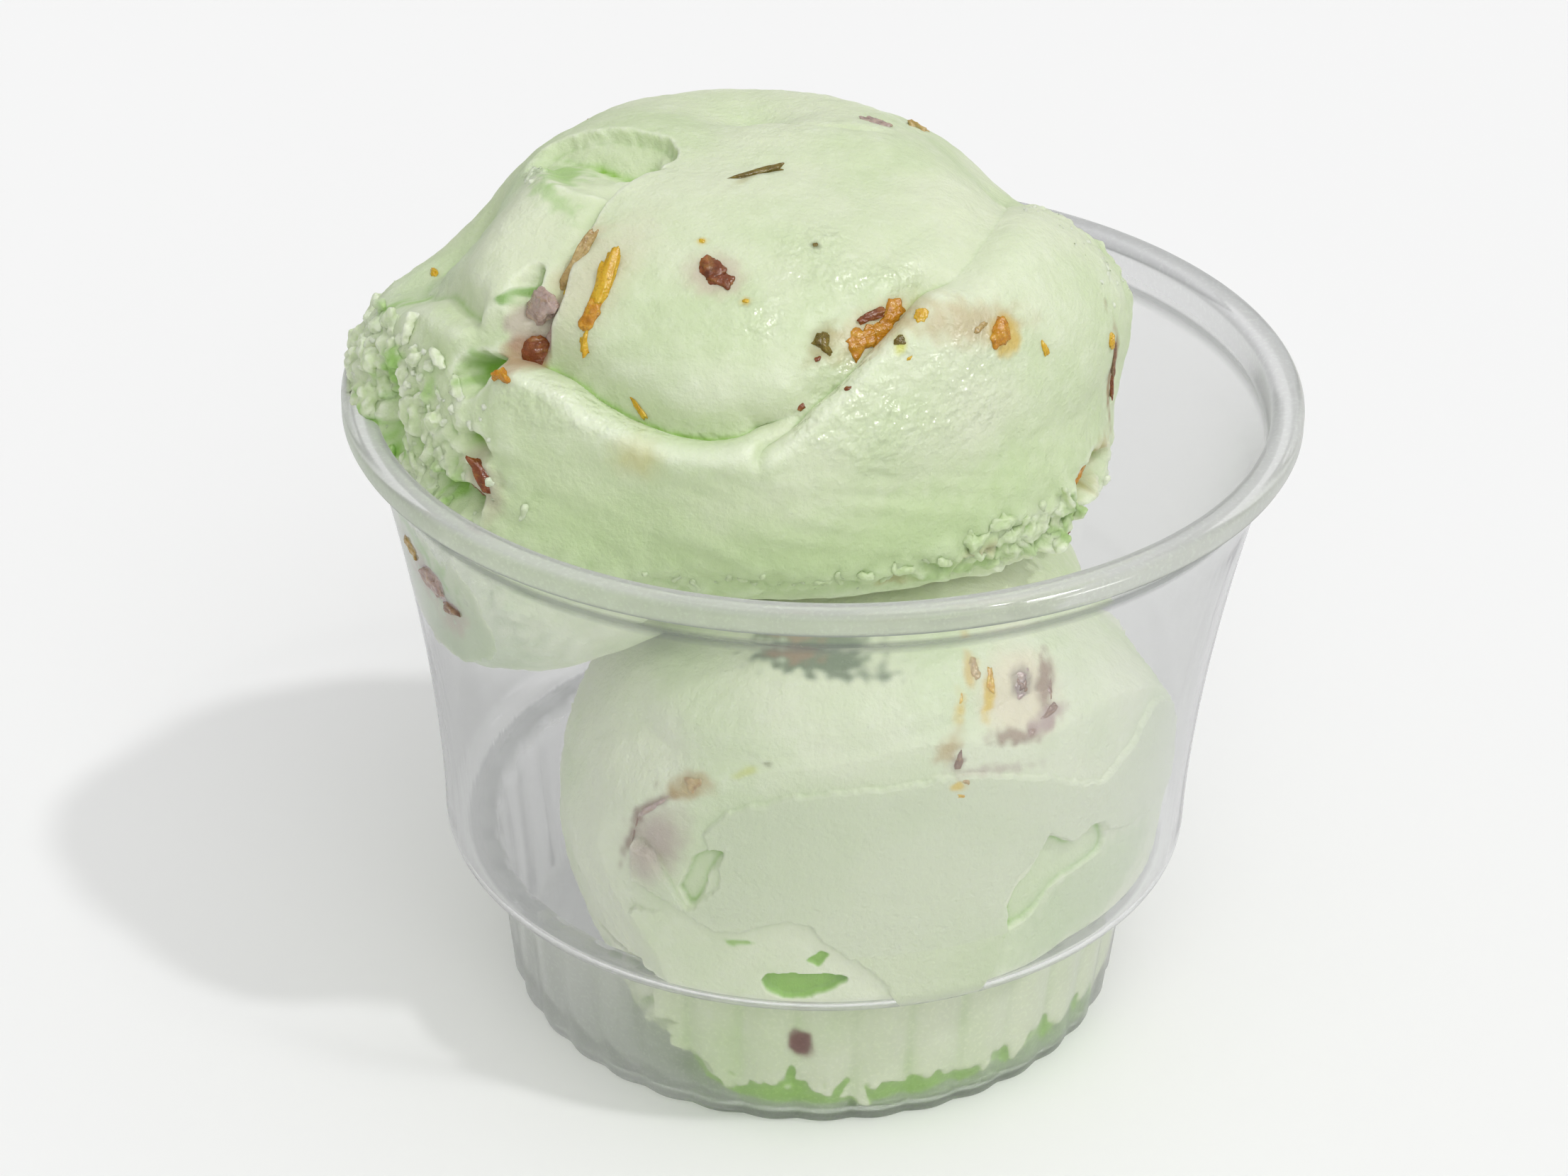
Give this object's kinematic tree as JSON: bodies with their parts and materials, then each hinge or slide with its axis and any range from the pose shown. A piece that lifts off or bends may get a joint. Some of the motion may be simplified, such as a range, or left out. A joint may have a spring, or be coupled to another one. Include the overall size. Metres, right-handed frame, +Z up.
{
  "type": "gelato cup",
  "caption": "Clear plastic dessert cup with a fluted foot and a rolled rim, holding pistachio gelato in a large scoop set on another, the upper one leaning over the rim.",
  "frame": {"origin": "centre of the cup's base, on the surface that it stands on", "axes": "+Z up along the cup's axis; -Y is the side that faces the viewer in the picture, and the upper scoop leans towards -X"},
  "size_m": [0.092, 0.092, 0.0916],
  "materials": {
    "clear_plastic": "clear, glossy thermoformed plastic",
    "pistachio_gelato": "soft, slightly wet frozen gelato with pistachio pieces"
  },
  "bodies": {
    "root": {"cup": "clear_plastic", "lower_scoop": "pistachio_gelato", "upper_scoop": "pistachio_gelato"}
  },
  "joints": []
}
